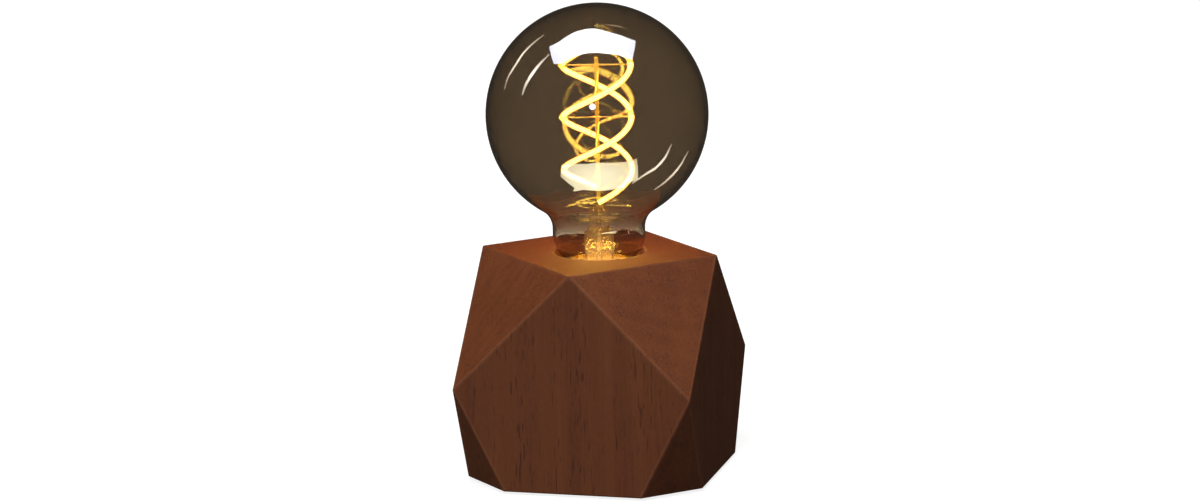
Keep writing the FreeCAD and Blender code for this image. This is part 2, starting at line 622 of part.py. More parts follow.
def make_cap_shell():
    minor_r, rim_r = THREAD_MINOR_D / 2, THREAD_MAJOR_D / 2
    lip_z = CAP_TIP_Z + CAP_LIP_RISE
    lip_top = lip_z + CAP_LIP_THICKNESS
    slope = rim_r - minor_r
    outside = turned((0, lip_z), ((CAP_BORE_R, lip_z),), ((minor_r, lip_z + CAP_WALL),),
                     ((minor_r, CAP_STEP_Z),), ((rim_r, CAP_STEP_Z + slope),), ((rim_r, CAP_RIM_Z),),
                     ((0, CAP_RIM_Z),))
    shell = outside.fuse(thread_rib(minor_r, rim_r, THREAD_HALF_WIDTH, THREAD_Z, THREAD_TURNS))
    inside = turned((0, lip_top), ((CAP_BORE_R, lip_top),), ((CAP_BORE_R, CAP_STEP_Z + CAP_WALL),),
                    ((CAP_RIM_BORE_R, CAP_STEP_Z + slope + CAP_WALL),), ((CAP_RIM_BORE_R, CAP_RIM_Z),),
                    ((0, CAP_RIM_Z),))
    return shell.cut(inside).cut(disc(2 * (INSULATOR_R + RUNNING_GAP), lip_z, lip_top))


def make_cap_cement():
    band_bottom = CAP_STEP_Z + (THREAD_MAJOR_D - THREAD_MINOR_D) / 2 + CAP_WALL
    return ring(2 * (CAP_RIM_BORE_R - RUNNING_GAP), 2 * (GLASS_TUBE_R + RUNNING_GAP),
                band_bottom + RUNNING_GAP, CAP_RIM_Z - GLASS_SEAT_DROP - RUNNING_GAP)


def make_cap_insulator():
    tip_r, flange_r = CAP_TIP_D / 2, CAP_BORE_R - SEAT_GAP
    tip_z = CAP_TIP_Z + CAP_TIP_HEIGHT
    lip_z = CAP_TIP_Z + CAP_LIP_RISE
    flange_z = lip_z + CAP_LIP_THICKNESS + RUNNING_GAP
    body = turned((0, tip_z), ((tip_r, tip_z),), ((INSULATOR_R, lip_z),), ((INSULATOR_R, flange_z),),
                  ((flange_r, flange_z),), ((flange_r, INSULATOR_TOP),), ((0, INSULATOR_TOP),))
    return body.cut(disc(CAP_STUB_D + 2 * RUNNING_GAP, CAP_TIP_Z, INSULATOR_TOP))


def make_cap_contact():
    """Flat-ended tip with a rounded edge, and the stub that holds it in the insulator."""
    tip_r, stub_r = CAP_TIP_D / 2, CAP_STUB_D / 2
    edge_r = CAP_TIP_HEIGHT
    seat, top = CAP_TIP_Z + CAP_TIP_HEIGHT, INSULATOR_TOP + RUNNING_GAP
    return turned((0, CAP_TIP_Z), ((tip_r - edge_r, CAP_TIP_Z),),
                  (on_arc(tip_r - edge_r, seat, edge_r, math.radians(-45)), (tip_r, seat)),
                  ((stub_r, seat),), ((stub_r, top),), ((0, top),))


# ---------------------------------------------------------------- bulb: driver in the cap
def make_driver_board():
    return disc(2 * BOARD_R, BOARD_Z, BOARD_TOP)


def component_place(heading_deg):
    return on_arc(0, 0, COMPONENT_CIRCLE_R, math.radians(heading_deg))


def round_component(heading_deg, diameter, height):
    return disc(diameter, BOARD_TOP, BOARD_TOP + height, *component_place(heading_deg))


def flat_component(heading_deg, length, width, height):
    x, y = component_place(heading_deg)
    return box(x - length / 2, x + length / 2, y - width / 2, y + width / 2, BOARD_TOP, BOARD_TOP + height)


def make_driver_components():
    """Capacitor, coil, rectifier, chip and resistor, which stand on the board round its middle."""
    return Part.makeCompound([
        round_component(180, CAPACITOR_D, CAPACITOR_HEIGHT),
        round_component(115, COIL_BODY_D, COIL_BODY_HEIGHT),
        flat_component(0, RECTIFIER_LENGTH, RECTIFIER_WIDTH, RECTIFIER_HEIGHT),
        flat_component(-80, CHIP_LENGTH, CHIP_WIDTH, CHIP_HEIGHT),
        flat_component(62, RESISTOR_LENGTH, RESISTOR_WIDTH, RESISTOR_HEIGHT)])


def make_driver_leads():
    """One wire down to the tip's stub, and one beside the cap's shell."""
    side_x = CAP_BORE_R - SEAT_GAP - WIRE_D
    centre = disc(WIRE_D, INSULATOR_TOP + RUNNING_GAP, BOARD_Z)
    side = disc(WIRE_D, INSULATOR_TOP, BOARD_Z, side_x)
    return Part.makeCompound([centre, side])


# ---------------------------------------------------------------- bulb: stem and filament
def coil_angle(turns):
    return math.radians(FILAMENT_START_DEG) + 2 * math.pi * turns


def coil_point(turns):
    """Point on the filament's first half, counted in turns from its bottom end."""
    x, y = on_arc(0, 0, COIL_R, coil_angle(turns))
    return V(x, y, FILAMENT_Z + FILAMENT_PITCH * turns)


def fold_point(share):
    """Point on the fold, from the first half's side (share 0) to the middle of the fold (share 1).

    The radius shrinks to nothing as the winding goes on for a quarter turn, and the climb starts at
    the coil's own slope and ends level.
    """
    side = coil_point(FILAMENT_SIDE_TURNS)
    radius = COIL_R * math.cos(share * math.pi / 2)
    x, y = on_arc(0, 0, radius, coil_angle(FILAMENT_SIDE_TURNS + share / 4))
    quarter_rise = FILAMENT_PITCH / 4
    arch = math.sin(share * math.pi / 2) ** 2
    climb = quarter_rise * (share - (share - arch) * share ** 2)
    climb += (FILAMENT_FOLD_HEIGHT - quarter_rise) * arch
    return V(x, y, side.z + climb)


def filament_path():
    coil_steps = round(FILAMENT_SIDE_TURNS * STEPS_PER_TURN)
    fold_steps = STEPS_PER_TURN // 2
    half = [coil_point(FILAMENT_SIDE_TURNS * i / coil_steps) for i in range(coil_steps)]
    half += [fold_point(i / fold_steps) for i in range(fold_steps)]
    middle = fold_point(1)
    other_half = [V(-p.x, -p.y, p.z) for p in reversed(half)]
    return smooth_path(half + [middle] + other_half)


def pin_run():
    """The bottom end of the filament's first half, and the outward direction there."""
    strand = filament_path().Edges[0]
    return strand.valueAt(strand.FirstParameter), strand.tangentAt(strand.FirstParameter) * -1


def make_led_filament():
    return round_bar(filament_path(), FILAMENT_D)


def make_filament_pins():
    end, outward = pin_run()
    pin = Part.makeCylinder(PIN_D / 2, PIN_LENGTH, end, outward)
    return Part.makeCompound([pin, half_turn(pin)])


def wire_place():
    """Where the first half's lead wire stands in the stem."""
    return on_arc(0, 0, WIRE_OFFSET, coil_angle(0))


def lead_wire():
    end, outward = pin_run()
    tip = end + outward * PIN_LENGTH
    bend = 3 * WIRE_D
    x, y = wire_place()
    return round_bar(bent_path([V(x, y, BOARD_TOP), V(x, y, PINCH_TOP + bend), tip], bend), WIRE_D)


def make_lead_wires():
    wire = lead_wire()
    end, outward = pin_run()
    pin = Part.makeCylinder(PIN_D / 2 + RUNNING_GAP, PIN_LENGTH + WIRE_D, end, outward)
    wire = wire.cut(pin)
    wire = max(wire.Solids, key=lambda solid: solid.Volume)
    return Part.makeCompound([wire, half_turn(wire)])


def make_glass_stem():
    """Foot, flare tube and solid pinch, turned, with a channel for each lead wire."""
    flare_r, pinch_r = STEM_FLARE_D / 2, STEM_PINCH_D / 2
    bore_r = flare_r - STEM_WALL
    sweep = GLASS_TUBE_R - GLASS_WALL - flare_r
    sweep_x, sweep_z = flare_r + sweep, STEM_FOOT_TOP + sweep
    under = sweep + STEM_WALL
    cone_top = FLARE_TOP + flare_r - pinch_r + STEM_WALL
    left_down = math.radians(225)
    stem = turned((GLASS_TUBE_R, STEM_FOOT_Z), ((GLASS_TUBE_R, STEM_FOOT_TOP),), ((sweep_x, STEM_FOOT_TOP),),
                  (on_arc(sweep_x, sweep_z, sweep, left_down), (flare_r, sweep_z)),
                  ((flare_r, FLARE_TOP),), ((pinch_r, cone_top),), ((pinch_r, PINCH_TOP - pinch_r / 2),),
                  ((pinch_r / 2, PINCH_TOP),), ((0, PINCH_TOP),), ((0, STEM_ROOF),),
                  ((EXHAUST_D, STEM_ROOF),), ((bore_r, FLARE_TOP - STEM_WALL),), ((bore_r, sweep_z),),
                  (on_arc(sweep_x, sweep_z, under, left_down), (sweep_x, sweep_z - under)))
    channel = disc(WIRE_D + 2 * RUNNING_GAP, STEM_ROOF - STEM_WALL, PINCH_TOP, *wire_place())
    return stem.cut([channel, half_turn(channel)])


def make_exhaust_tube():
    return ring(EXHAUST_D, EXHAUST_BORE_D, STEM_FOOT_Z - EXHAUST_TAIL, STEM_ROOF)


def support_wire_places():
    """Turns along the filament at which each support wire grips it: at its sides, top and middle."""
    return {"top": FILAMENT_SIDE_TURNS, "middle": FILAMENT_SIDE_TURNS - 0.5}


def support_axis(place):
    point = coil_point(support_wire_places()[place])
    return V(point.x, point.y, 0).normalize(), point.z


def make_glass_rod():
    rod = disc(ROD_D, PINCH_TOP, ROD_TOP)
    for place in support_wire_places():
        along, z = support_axis(place)
        start = V(0, 0, z) - along * ROD_D
        rod = rod.cut(Part.makeCylinder(SUPPORT_WIRE_D / 2 + RUNNING_GAP, 2 * ROD_D, start, along))
    return rod


def make_support_wire(place):
    """A straight wire through the rod with a ring round the filament at each end."""
    turns = support_wire_places()[place]
    along, z = support_axis(place)
    centre = coil_point(turns)
    step = 0.01
    tangent = (coil_point(turns + step) - coil_point(turns - step)).normalize()
    ring_r = FILAMENT_D / 2 + SUPPORT_WIRE_D / 2 + 2 * RUNNING_GAP
    loop = Part.makeTorus(ring_r, SUPPORT_WIRE_D / 2, centre, tangent)
    reach = COIL_R - ring_r
    half = Part.makeCylinder(SUPPORT_WIRE_D / 2, reach, V(0, 0, z), along).fuse(loop)
    return half.fuse(half_turn(half)).removeSplitter()


# ---------------------------------------------------------------- all pieces
PIECES = {
    "wood_block": make_wood_block,
    "rubber_feet": make_rubber_feet,
    "pocket_cover": make_pocket_cover,
    "cover_screws": make_cover_screws,
    "cable_inlet": inlet_bush,
    "threaded_nipple": make_threaded_nipple,
    "nipple_washer": make_nipple_washer,
    "nipple_nut": make_nipple_nut,
    "holder_cap": make_holder_cap,
    "holder_skirt": make_holder_skirt,
    "ceramic_insert": make_ceramic_insert,
    "screw_shell": make_screw_shell,
    "shell_rivets": make_shell_rivets,
    "side_strip": make_side_strip,
    "centre_strip": make_centre_strip,
    "terminal_blocks": make_terminal_blocks,
    "terminal_screws": make_terminal_screws,
    "centre_contact": make_centre_contact,
    "contact_spring": make_contact_spring,
    "retaining_clip": make_retaining_clip,
    "glass_envelope": make_glass_envelope,
    "cap_shell": make_cap_shell,
    "cap_cement": make_cap_cement,
    "cap_insulator": make_cap_insulator,
    "cap_contact": make_cap_contact,
    "driver_board": make_driver_board,
    "driver_components": make_driver_components,
    "driver_leads": make_driver_leads,
    "glass_stem": make_glass_stem,
    "exhaust_tube": make_exhaust_tube,
    "glass_rod": make_glass_rod,
    "lead_wires": make_lead_wires,
    "filament_pins": make_filament_pins,
    "led_filament": make_led_filament,
    "top_support_wire": lambda: make_support_wire("top"),
    "middle_support_wire": lambda: make_support_wire("middle"),
}

os.makedirs("parts", exist_ok=True)
for name, make in PIECES.items():
    shape = make()
    shape.exportStep("parts/" + name + ".step")
    box_mm = shape.BoundBox
    print("%-20s solids %d  volume %9.2f  valid %s  z %.2f..%.2f" % (
        name, len(shape.Solids), shape.Volume, shape.isValid(), box_mm.ZMin, box_mm.ZMax))
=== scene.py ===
# %% [markdown]
# # A bare bulb table lamp
# The CAD model is the frame: every part is already in its place, in metres, with Z up and the
# front of the block looking along -Y. This lesson gives it its looks: the camera and the light
# first, then a finish for each material, then the few pieces that Blender makes better than CAD.

# %% Load the frame
import math

import bmesh
import bpy
from mathutils import Matrix, Vector


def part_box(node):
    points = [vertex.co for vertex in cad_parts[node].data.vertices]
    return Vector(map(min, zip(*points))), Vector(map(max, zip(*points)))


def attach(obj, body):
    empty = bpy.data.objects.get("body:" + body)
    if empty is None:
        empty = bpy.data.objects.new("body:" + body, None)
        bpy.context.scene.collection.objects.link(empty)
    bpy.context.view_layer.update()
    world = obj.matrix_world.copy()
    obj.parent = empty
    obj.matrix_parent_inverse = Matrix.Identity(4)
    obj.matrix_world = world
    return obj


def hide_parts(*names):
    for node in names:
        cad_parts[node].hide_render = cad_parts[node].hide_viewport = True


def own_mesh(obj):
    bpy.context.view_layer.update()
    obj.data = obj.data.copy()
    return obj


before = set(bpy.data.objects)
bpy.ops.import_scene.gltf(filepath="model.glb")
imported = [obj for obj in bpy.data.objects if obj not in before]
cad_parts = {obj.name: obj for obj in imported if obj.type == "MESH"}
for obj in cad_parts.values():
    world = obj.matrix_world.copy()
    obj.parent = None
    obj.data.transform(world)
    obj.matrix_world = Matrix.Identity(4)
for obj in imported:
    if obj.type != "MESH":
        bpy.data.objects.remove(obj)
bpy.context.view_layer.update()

MM = 0.001


# %% [markdown]
# ## Camera
# The photograph was taken from the front, a little to the right and a little above, through a long
# lens. Twelve corners of the block and the outline of the globe were fitted to a pinhole camera,
# and these are the numbers of that fit. A long lens far away keeps the block's sides nearly
# parallel, as they are in the photograph.

# %% Camera
PHOTO_WIDTH = 1200
LENS_PIXELS = 5613.8
heading, lift, roll = (math.radians(a) for a in (14.62, 12.51, -0.92))
aim = Vector((0, 0, 95.34 * MM))
sideways = Vector((math.cos(heading), math.sin(heading), 0))
backwards = Vector((math.sin(heading) * math.cos(lift), -math.cos(heading) * math.cos(lift), math.sin(lift)))
upwards = backwards.cross(sideways)
camera_place = aim + sideways * 0.31 * MM + backwards * 2401.5 * MM
camera_x = sideways * math.cos(roll) + upwards * math.sin(roll)
camera_y = upwards * math.cos(roll) - sideways * math.sin(roll)

camera = bpy.data.objects.new("camera", bpy.data.cameras.new("camera"))
camera.data.sensor_width = 36
camera.data.lens = LENS_PIXELS / PHOTO_WIDTH * camera.data.sensor_width
camera.matrix_world = Matrix((
    (camera_x.x, camera_y.x, backwards.x, camera_place.x),
    (camera_x.y, camera_y.y, backwards.y, camera_place.y),
    (camera_x.z, camera_y.z, backwards.z, camera_place.z),
    (0, 0, 0, 1)))
collection = bpy.context.scene.collection
collection.objects.link(camera)
bpy.context.scene.camera = camera
bpy.context.scene.view_settings.view_transform = "Standard"
print("lens in mm:", round(camera.data.lens, 1))


# %% [markdown]
# ## Small tools for node trees
# A procedural finish is a tree of nodes. One helper adds a node and fills or links its sockets, and
# a few more give the steps that every finish here uses: stretched noise, a colour ramp, a mix of
# two colours and a relief. All patterns read Object coordinates, which are metres in the frame.

# %% Node helpers
def put(tree, kind, sockets=None, **properties):
    """Adds a node. Each socket gets a number, a colour, a piece of data or another node's output."""
    node = tree.nodes.new(kind)
    for key, value in properties.items():
        setattr(node, key, value)
    for key, value in (sockets or {}).items():
        if isinstance(value, bpy.types.NodeSocket):
            tree.links.new(value, node.inputs[key])
        else:
            node.inputs[key].default_value = value
    return node


def sums(tree, operation, first, second=0.0, third=0.0):
    node = put(tree, "ShaderNodeMath", {0: first, 1: second, 2: third}, operation=operation)
    return node.outputs[0]


def colour(red, green, blue):
    return (red, green, blue, 1)


def mixed(tree, factor, first, second):
    """Colour between the first, at factor 0, and the second, at factor 1."""
    node = put(tree, "ShaderNodeMix", {0: factor, 6: first, 7: second}, data_type="RGBA")
    return node.outputs[2]


def span(tree, value, low, high, to_low=0.0, to_high=1.0):
    """Value carried from one range to another, with its ends held and a smooth slope between."""
    node = put(tree, "ShaderNodeMapRange", {0: value, 1: low, 2: high, 3: to_low, 4: to_high},
               interpolation_type="SMOOTHSTEP")
    return node.outputs[0]


def object_place(tree):
    return put(tree, "ShaderNodeTexCoord").outputs["Object"]


def stretched(tree, place, per_metre):
    return put(tree, "ShaderNodeMapping", {"Vector": place, "Scale": per_metre}).outputs[0]


def noise(tree, place, per_metre, detail=2.0, roughness=0.5):
    """Noise from 0 to 1. The grain size is one over per_metre, which may differ along x, y and z."""
    if not hasattr(per_metre, "__len__"):
        per_metre = (per_metre,) * 3
    node = put(tree, "ShaderNodeTexNoise", {"Vector": stretched(tree, place, per_metre), "Scale": 1.0,
                                            "Detail": detail, "Roughness": roughness})
    return node.outputs["Fac"]


def relief(tree, height, depth, strength=1.0):
    return put(tree, "ShaderNodeBump", {"Height": height, "Distance": depth, "Strength": strength}).outputs[0]


def new_finish(name):
    material = bpy.data.materials.new(name)
    material.use_nodes = True
    material.node_tree.nodes.clear()
    return material, material.node_tree


def end_in(tree, shader):
    put(tree, "ShaderNodeOutputMaterial", {"Surface": shader})


def principled(tree, **sockets):
    """The one surface shader of a finish. Underscores in the names stand for spaces."""
    named = {key.replace("_", " "): value for key, value in sockets.items()}
    shader = put(tree, "ShaderNodeBsdfPrincipled", named)
    end_in(tree, shader.outputs[0])
    return shader


def dress(material, *nodes):
    """Gives CAD nodes a finish."""
    for name in nodes:
        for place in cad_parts[name].material_slots:
            place.material = material


# %% [markdown]
# ## Floor, background and light
# The lamp stands on a white floor in front of white. The floor's own colour is lit like everything
# else, so that it keeps the lamp's shadow, and it glows for the camera, for reflections and for
# what is seen through glass. It glows a little less near the lamp, where the shadow falls. For
# every other ray the floor is only a dull grey, so that it throws little light on the lower sides.
# The world does the same: white for what is seen, a dim and even fill for the rest.

# %% Floor and world
white = colour(1, 1, 1)


def seen_share(tree):
    """One for the rays that look at the background: straight, by reflection or through glass."""
    path = put(tree, "ShaderNodeLightPath")
    return sums(tree, "MAXIMUM", path.outputs["Is Camera Ray"],
                sums(tree, "MAXIMUM", path.outputs["Is Glossy Ray"], path.outputs["Is Transmission Ray"]))


floor_finish, tree = new_finish("white_floor")
place = object_place(tree)
speckle = noise(tree, place, 220, 3)
grey = mixed(tree, speckle, colour(.25, .25, .25), colour(.27, .27, .27))
lit = put(tree, "ShaderNodeBsdfDiffuse", {"Color": grey})
away = put(tree, "ShaderNodeVectorMath", {0: place}, operation="LENGTH").outputs["Value"]
level = span(tree, away, 0.10, 0.45, 0.86, 1.0)
own = put(tree, "ShaderNodeEmission", {"Color": white, "Strength": sums(tree, "MULTIPLY", level, seen_share(tree))})
end_in(tree, put(tree, "ShaderNodeAddShader", {0: lit.outputs[0], 1: own.outputs[0]}).outputs[0])

bpy.ops.mesh.primitive_circle_add(vertices=96, radius=4, fill_type="NGON")
floor = bpy.context.object
floor.name = "floor"
floor.data.materials.append(floor_finish)

world = bpy.data.worlds.new("studio")
world.use_nodes = True
bpy.context.scene.world = world
tree = world.node_tree
tree.nodes.clear()
FILL_LIGHT = (0.12, 0.125, 0.135)
background = put(tree, "ShaderNodeBackground", {"Color": mixed(tree, seen_share(tree), colour(*FILL_LIGHT), white)})
put(tree, "ShaderNodeOutputWorld", {"Surface": background.outputs[0]})

# %% [markdown]
# ### Studio lamps
# A softbox hangs over the lamp and a little before it, and a large soft fill stands in front on the
# left. So the upper faces are lit most, the front face less, and the right-hand face stays dark.
# They light everything but the globe: what the globe mirrors is made on its own in the next step,
# and light linking keeps the two apart.

# %% Studio lamps
def receivers(name, *nodes, leave_out=False):
    """A light-linking set: only these nodes are lit, or all but these."""
    group = bpy.data.collections.new(name)
    for node in nodes:
        group.objects.link(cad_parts[node])
    for member in group.collection_objects:
        member.light_linking.link_state = "EXCLUDE" if leave_out else "INCLUDE"
    return group


all_but_globe = receivers("all_but_globe", "glass_envelope", leave_out=True)
globe_only = receivers("globe_only", "glass_envelope")
all_but_wood = receivers("all_but_wood", "wood_block", leave_out=True)
GLASS_NODES = ("glass_envelope", "glass_stem", "exhaust_tube", "glass_rod")
all_but_glass = receivers("all_but_glass", *GLASS_NODES, leave_out=True)


def soft_lamp(name, place, target, width, depth, watts, tone=(1, 1, 1)):
    lamp = bpy.data.objects.new(name, bpy.data.lights.new(name, "AREA"))
    lamp.data.shape = "RECTANGLE"
    lamp.data.size, lamp.data.size_y = width, depth
    lamp.data.energy = watts
    lamp.data.color = tone
    lamp.location = place
    lamp.rotation_euler = (Vector(target) - Vector(place)).to_track_quat("-Z", "Y").to_euler()
    lamp.light_linking.receiver_collection = all_but_globe
    collection.objects.link(lamp)
    return lamp


soft_lamp("overhead_softbox", (0.04, -0.44, 1.05), (0, 0, 0.08), 0.7, 0.5, 14.5, (1.0, 0.97, 0.91))
soft_lamp("front_fill", (-0.78, -1.45, 0.50), (0, 0, 0.08), 0.9, 0.9, 6.0, (0.95, 0.98, 1.0))


# %% [markdown]
# ### What the glass mirrors
# In the photograph the globe mirrors a softbox overhead as a white band near its top, and its edges
# as curved lines on the left. The back wall mirrors both once more, upside down and dimmer. Light
# that bright is limited by the renderer when it comes through tinted glass, so those dimmer images
# get cards of their own, which are right for the photograph's side of the globe only.
#
# Glass shows a softbox only if the room is darker, and it gets its thin dark outline from black
# flags round the table. So a dark tent stands round the lamp, which only mirrored rays see, and each
# highlight has a card of its own, which lights and shows nothing but the globe. A card is found
# backwards: the outline of a highlight is given on the face of the globe, and a ray from the camera
# is mirrored there and followed outwards to the card. The upper cards hang round the lamp, and the
# lower ones lie on the floor before it.

# %% Cards and tent
def card_finish(name, edge_tone, middle_tone, middle, spread):
    """Even light that brightens towards one point. It is off for rays that went through glass first."""
    material, tree = new_finish(name)
    place = object_place(tree)
    away = put(tree, "ShaderNodeVectorMath", {0: place, 1: tuple(middle)}, operation="DISTANCE").outputs["Value"]
    fine = noise(tree, place, 12, 1)
    nearness = span(tree, sums(tree, "MULTIPLY_ADD", fine, 0.1 * spread, away), 0.0, spread, 1.0, 0.0)
    path = put(tree, "ShaderNodeLightPath")
    outside = sums(tree, "MULTIPLY", sums(tree, "LESS_THAN", path.outputs["Glossy Depth"], 1.5),
                   sums(tree, "LESS_THAN", path.outputs["Transmission Depth"], 0.5))
    end_in(tree, put(tree, "ShaderNodeEmission", {
        "Color": mixed(tree, nearness, colour(*edge_tone), colour(*middle_tone)), "Strength": outside}).outputs[0])
    return material


def tent_finish(tone):
    """Dark cloth for rays that have been mirrored, and nothing for rays that come straight through glass."""
    material, tree = new_finish("tent_cloth")
    weave = noise(tree, object_place(tree), 8, 1)
    shade = mixed(tree, weave, colour(*tone), colour(*(0.8 * c for c in tone)))
    cloth = put(tree, "ShaderNodeEmission", {"Color": shade})
    mirrored = sums(tree, "GREATER_THAN", put(tree, "ShaderNodeLightPath").outputs["Glossy Depth"], 0.5)
    clear = put(tree, "ShaderNodeBsdfTransparent", {"Color": white})
    end_in(tree, put(tree, "ShaderNodeMixShader", {0: mirrored, 1: clear.outputs[0], 2: cloth.outputs[0]}).outputs[0])
    return material


def reflected_only(obj):
    """A stage object that throws no shadow, and that neither the camera nor matt surfaces see."""
    obj.visible_camera = obj.visible_diffuse = obj.visible_shadow = obj.visible_volume_scatter = False
    return obj


globe_centre = Vector((0, 0, 155.43 * MM))
GLOBE_RADIUS = 47.5 * MM
CARD_REACH, CARD_LIFT = 0.6, 1 * MM


def mirrored_point(right, up):
    """Place of what the globe mirrors at this point of its face, given in hundredths of its radius.

    A ray that goes up ends at CARD_REACH, and one that goes down ends on the floor."""
    right, up = right / 100, up / 100
    normal = camera_x * right + camera_y * up + backwards * math.sqrt(1 - right * right - up * up)
    touch = globe_centre + normal * GLOBE_RADIUS
    view = (camera_place - touch).normalized()
    ray = normal * (2 * normal.dot(view)) - view
    reach = CARD_REACH if ray.z >= 0 else min(CARD_REACH, (touch.z - CARD_LIFT) / -ray.z)
    return touch + ray * reach


def smooth_line(points, steps=5):
    """Catmull-Rom line through the points, so that a highlight has no corners between them."""
    points = [Vector(p) for p in points]
    ends = [2 * points[0] - points[1], *points, 2 * points[-1] - points[-2]]
    line = []
    for a, b, c, d in zip(ends, ends[1:], ends[2:], ends[3:]):
        for i in range(steps):
            t = i / steps
            line.append(0.5 * (2 * b + (c - a) * t + (2 * a - 5 * b + 4 * c - d) * t ** 2
                               + (3 * b - a - 3 * c + d) * t ** 3))
    return line + [points[-1]]


def card(name, first_edge, second_edge, edge_tone, middle_tone, spread=1.0):
    """A sheet between the places that mirror two edges of a highlight."""
    rows = [[mirrored_point(*p) for p in edge] for edge in (first_edge, second_edge)]
    count = len(rows[0])
    mesh = bpy.data.meshes.new(name)
    mesh.from_pydata(rows[0] + rows[1], [], [(i, i + 1, count + i + 1, count + i) for i in range(count - 1)])
    middle = sum(rows[0] + rows[1], Vector()) / (2 * count)
    size = max((corner - middle).length for corner in rows[0] + rows[1])
    mesh.materials.append(card_finish(name + "_light", edge_tone, middle_tone, middle, size * spread))
    obj = bpy.data.objects.new(name, mesh)
    collection.objects.link(obj)
    obj.light_linking.receiver_collection = globe_only
    obj.visible_transmission = False
    return reflected_only(obj)


def streak(name, points, width, tone, dim=0.35):
    """A thin highlight that tapers to both ends and is brightest in its middle."""
    line = smooth_line(points)
    edges = ([], [])
    for i, point in enumerate(line):
        along = (line[min(i + 1, len(line) - 1)] - line[max(i - 1, 0)]).normalized()
        half = 0.5 * width * (0.35 + 0.65 * math.sin(math.pi * i / (len(line) - 1)))
        edges[0].append(point + Vector((-along.y, along.x)) * half)
        edges[1].append(point - Vector((-along.y, along.x)) * half)
    return card(name, *edges, tuple(dim * c for c in tone), tone)


cards = [
    card("band_card",
         smooth_line([(-42, 58), (-34, 62), (-25, 68), (-16, 72), (-4, 74), (6, 72), (17, 69), (26, 66), (34, 63)]),
         smooth_line([(-38, 42), (-31, 43), (-26, 46), (-19, 49), (-4, 52), (9, 51), (18, 50), (24, 48), (31, 46)]),
         (6.4, 6.6, 7.8), (14, 14, 14)),
    card("low_band_card",
         smooth_line([(-31, -47), (-27, -47), (-18, -46), (-9, -46), (-1, -45),
                      (7, -45), (16, -45), (25, -44), (30, -43), (35, -41)]),
         smooth_line([(-32, -57), (-25, -63), (-19, -68), (-21, -71), (-9, -73),
                      (2, -73), (13, -73), (23, -71), (20, -65), (36, -60)]),
         (3.8, 3.1, 1.9), (7.6, 6.9, 4.6), 1.2),
    streak("inner_left_streak", [(-66, 15), (-63, 24), (-57, 34), (-50, 43), (-42, 51)], 2.4, (10, 8.8, 7.2)),
    streak("outer_left_streak", [(-82, 21), (-79, 31), (-73, 41), (-65, 53), (-56, 62), (-47, 69)], 1.5, (7, 6, 4.6)),
    streak("inner_right_streak", [(31, -63), (41, -56), (52, -49), (60, -40), (66, -28)], 1.9, (8, 7, 5.4)),
    streak("outer_right_streak", [(50, -69), (62, -60), (73, -48), (81, -34)], 1.6, (5, 4.2, 3.0)),
    streak("top_streak", [(3, 78), (13, 77), (20, 76), (26, 74)], 1.3, (1.8, 1.2, 0.7)),
    streak("sparkle", [(-7, 4), (-4, 4), (-1, 4)], 6.0, (40, 40, 42), 0.1),
]
print("cards:", [one.name for one in cards])

bpy.ops.mesh.primitive_uv_sphere_add(segments=48, ring_count=24, radius=1.5)
tent = bpy.context.object
tent.name = "dark_tent"
for corner in tent.data.vertices:
    corner.co.z = max(corner.co.z, 0.2 * MM)
tent.data.materials.append(tent_finish((0.054, 0.045, 0.035)))
reflected_only(tent)

# %% [markdown]
# ## Walnut
# The block is one piece of wood, stained dark and lacquered satin. Its grain stands upright: fine
# fibres, short dark pores that are far longer than wide, and faint growth rings round a pith that
# lies outside the block. Because the pattern is solid, in x, y and z, it runs as lines down the
# sides and shows as dots on the top, which is what a real block does. The stain is rubbed paler on
# the edges and round the hole, and that pale line is also a painted highlight where they catch light.
# The top is darker, partly end grain that takes more stain and partly painted shade over the top.
# Each face is a plane, so the distance to the nearest edge is the second smallest
# distance to those planes, and the shader can find it with no painted map.

# %% Walnut
HALF = 51.75 * MM
BLOCK_FOOT, BLOCK_CORNER, BLOCK_TOP = 1.2 * MM, 44.7 * MM, 96.2 * MM
FOOT_HALF = 29.85 * MM
HOLE_RADIUS = 20.2 * MM


def edge_distance(tree, place):
    """Distance along a face to its nearest edge. The block is folded into one eighth by symmetry."""
    axes = put(tree, "ShaderNodeSeparateXYZ", {0: place})
    x, y = (sums(tree, "ABSOLUTE", axes.outputs[i]) for i in (0, 1))
    z = axes.outputs[2]
    far, near = sums(tree, "MAXIMUM", x, y), sums(tree, "MINIMUM", x, y)
    both = sums(tree, "ADD", x, y)
    upper = HALF / (BLOCK_TOP - BLOCK_CORNER)
    lower = (HALF - FOOT_HALF) / (BLOCK_CORNER - BLOCK_FOOT)
    upper_length, lower_length = math.sqrt(2 + upper ** 2), math.sqrt(2 + lower ** 2)
    upper_sum = sums(tree, "MULTIPLY_ADD", z, upper, both)
    lower_sum = sums(tree, "MULTIPLY_ADD", z, -lower, both)
    radius = sums(tree, "SQRT", sums(tree, "ADD", sums(tree, "POWER", x, 2), sums(tree, "POWER", y, 2)))
    planes = [
        sums(tree, "SUBTRACT", HALF, far),
        sums(tree, "SUBTRACT", HALF, near),
        sums(tree, "SUBTRACT", BLOCK_TOP, z),
        sums(tree, "SUBTRACT", z, BLOCK_FOOT),
        sums(tree, "MULTIPLY", sums(tree, "SUBTRACT", HALF + upper * BLOCK_TOP, upper_sum), 1 / upper_length),
        sums(tree, "MULTIPLY", sums(tree, "SUBTRACT", 2 * HALF - lower * BLOCK_CORNER, lower_sum), 1 / lower_length),
        sums(tree, "ABSOLUTE", sums(tree, "SUBTRACT", radius, HOLE_RADIUS)),
    ]
    smallest, second = planes[0], 1.0
    for plane in planes[1:]:
        second = sums(tree, "MINIMUM", second, sums(tree, "MAXIMUM", smallest, plane))
        smallest = sums(tree, "MINIMUM", smallest, plane)
    return second


